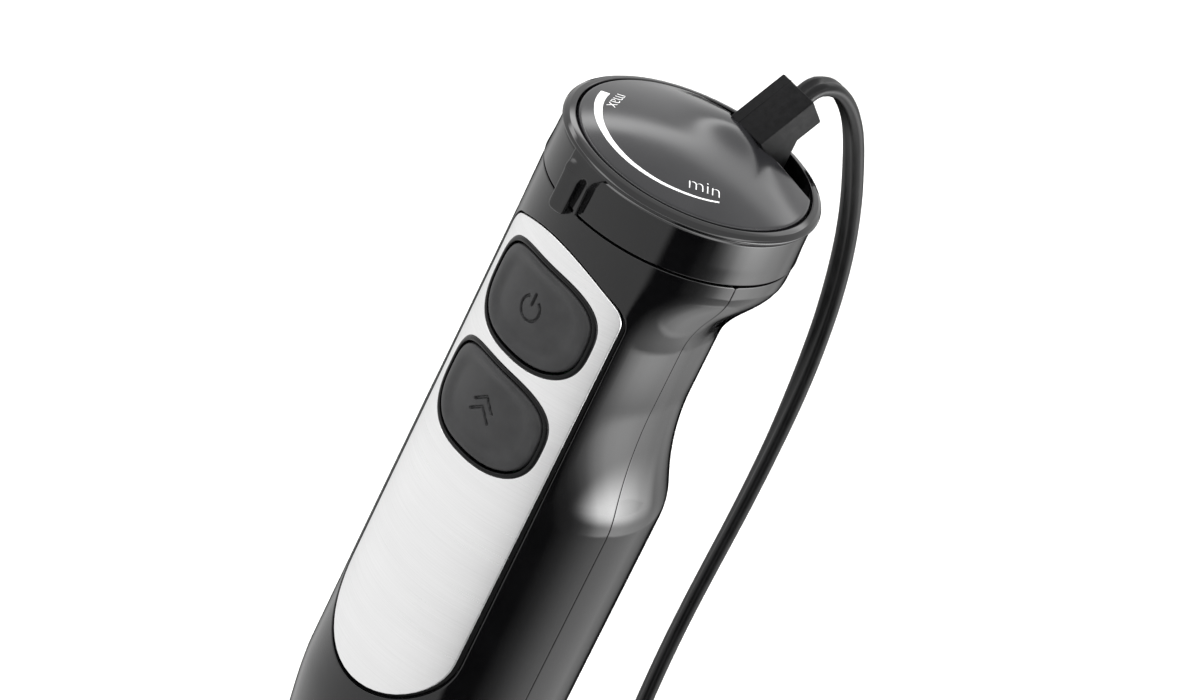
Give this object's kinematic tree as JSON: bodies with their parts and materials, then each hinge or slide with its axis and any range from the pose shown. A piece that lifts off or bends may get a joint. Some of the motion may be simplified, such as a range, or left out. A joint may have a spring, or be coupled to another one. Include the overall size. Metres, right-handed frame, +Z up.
{
  "type": "immersion blender",
  "caption": "Corded immersion blender: motor unit with a speed ring and front buttons on a pull-off foot with a bell-guarded blade.",
  "frame": {"origin": "centre of the bell guard's edge, on the surface that the blender stands on", "axes": "+Z up the shaft's axis, -Y towards the side with the panel and buttons, +Y towards the cord"},
  "size_m": [0.0815, 0.2524, 0.4118],
  "materials": {
    "gloss_black": "moulded black ABS, high gloss",
    "steel_sheet": "fine brushed stainless sheet",
    "bezel_trim": "bright edged black trim",
    "key_rubber": "soft-touch matte dark grey rubber",
    "gasket_rubber": "black silicone",
    "boot_rubber": "matte moulded PVC",
    "cord_pvc": "semi-gloss black PVC sheath",
    "tie_strap": "woven hook-and-loop tie",
    "black_abs": "satin moulded ABS",
    "board_green": "solder-masked laminate",
    "board_mix": "film capacitor and choke",
    "zinc_steel": "zinc-plated steel",
    "cap_plastic": "glass-filled nylon",
    "magnet_ferrite": "sintered ferrite",
    "brass": "stamped brass",
    "carbon": "pressed carbon",
    "core_steel": "stacked silicon steel laminations",
    "copper": "enamelled copper wire",
    "fan_nylon": "moulded nylon",
    "ground_steel": "ground stainless",
    "foot_steel": "satin brushed stainless",
    "blade_steel": "ground stainless blade"
  },
  "bodies": {
    "foot": {"foot_collar": "black_abs", "foot_tube": "foot_steel", "bell_guard": "foot_steel", "bearing_carrier": "black_abs", "foot_upper_bush": "brass", "foot_lower_bearing": "ground_steel", "shaft_seal": "gasket_rubber", "cord_coil": "cord_pvc", "cord_tail": "cord_pvc", "coil_tie": "tie_strap", "plug": "cord_pvc", "plug_pins": "brass"},
    "motor_unit": {"front_shell": "gloss_black", "rear_shell": "gloss_black", "top_collar": "black_abs", "top_dome": "gloss_black", "steel_panel": "steel_sheet", "panel_bezel": "bezel_trim", "on_gasket": "gasket_rubber", "turbo_gasket": "gasket_rubber", "cord_boot": "boot_rubber", "cord_clamp": "black_abs", "clamp_screws": "zinc_steel", "control_board": "board_green", "board_parts": "board_mix", "speed_track": "black_abs", "on_switch": "black_abs", "turbo_switch": "black_abs", "motor_can": "zinc_steel", "can_end_cap": "cap_plastic", "magnets": "magnet_ferrite", "brush_holders": "brass", "carbon_brushes": "carbon", "upper_bush": "brass", "lower_bearing": "ground_steel", "upper_mount": "gasket_rubber", "lower_mount": "gasket_rubber", "screw_posts": "black_abs", "shell_screws": "zinc_steel", "foot_socket": "black_abs", "retaining_clip": "zinc_steel", "on_spring": "zinc_steel", "turbo_spring": "zinc_steel", "cord": "cord_pvc"},
    "speed_dial": {"speed_ring": "gloss_black", "speed_wiper": "brass"},
    "on_key": {"on_button": "key_rubber"},
    "turbo_key": {"turbo_button": "key_rubber"},
    "left_release": {"release_left": "key_rubber"},
    "right_release": {"release_right": "key_rubber"},
    "rotor": {"rotor_shaft": "ground_steel", "rotor_core": "core_steel", "rotor_windings": "copper", "commutator": "copper", "cooling_fan": "fan_nylon", "drive_socket": "ground_steel"},
    "blade_set": {"blade_shaft": "ground_steel", "drive_key": "ground_steel", "blade": "blade_steel", "blade_hub": "black_abs"}
  },
  "joints": [
    {"name": "motor_unit_lift", "type": "slide", "parent": "foot", "child": "motor_unit", "axis": [0, 0, 1], "range_m": [0, 0.045], "deforming": ["retaining_clip"]},
    {"name": "speed_ring_turn", "type": "hinge", "parent": "motor_unit", "child": "speed_dial", "pos_m": [0, 0, 0.384], "axis": [0, 0, 1], "range_deg": [-56, 64]},
    {"name": "on_button_press", "type": "slide", "parent": "motor_unit", "child": "on_key", "axis": [0, 1, 0], "range_m": [0, 0.002], "stiffness_N_per_m": 800, "springref_m": -0.001, "deforming": ["on_spring"]},
    {"name": "turbo_button_press", "type": "slide", "parent": "motor_unit", "child": "turbo_key", "axis": [0, 1, 0], "range_m": [0, 0.002], "stiffness_N_per_m": 800, "springref_m": -0.001, "deforming": ["turbo_spring"]},
    {"name": "left_release_press", "type": "slide", "parent": "motor_unit", "child": "left_release", "axis": [1, 0, 0], "range_m": [0, 0.002], "stiffness_N_per_m": 700, "springref_m": -0.001},
    {"name": "right_release_press", "type": "slide", "parent": "motor_unit", "child": "right_release", "axis": [-1, 0, 0], "range_m": [0, 0.002], "stiffness_N_per_m": 700, "springref_m": -0.001},
    {"name": "rotor_spin", "type": "hinge", "parent": "motor_unit", "child": "rotor", "pos_m": [0, 0, 0.247], "axis": [0, 0, 1], "continuous": true},
    {"name": "blade_spin", "type": "hinge", "parent": "foot", "child": "blade_set", "pos_m": [0, 0, 0.015], "axis": [0, 0, 1], "continuous": true}
  ],
  "couplings": [
    {"joint": "blade_spin", "follows": "rotor_spin", "ratio": 1}
  ]
}
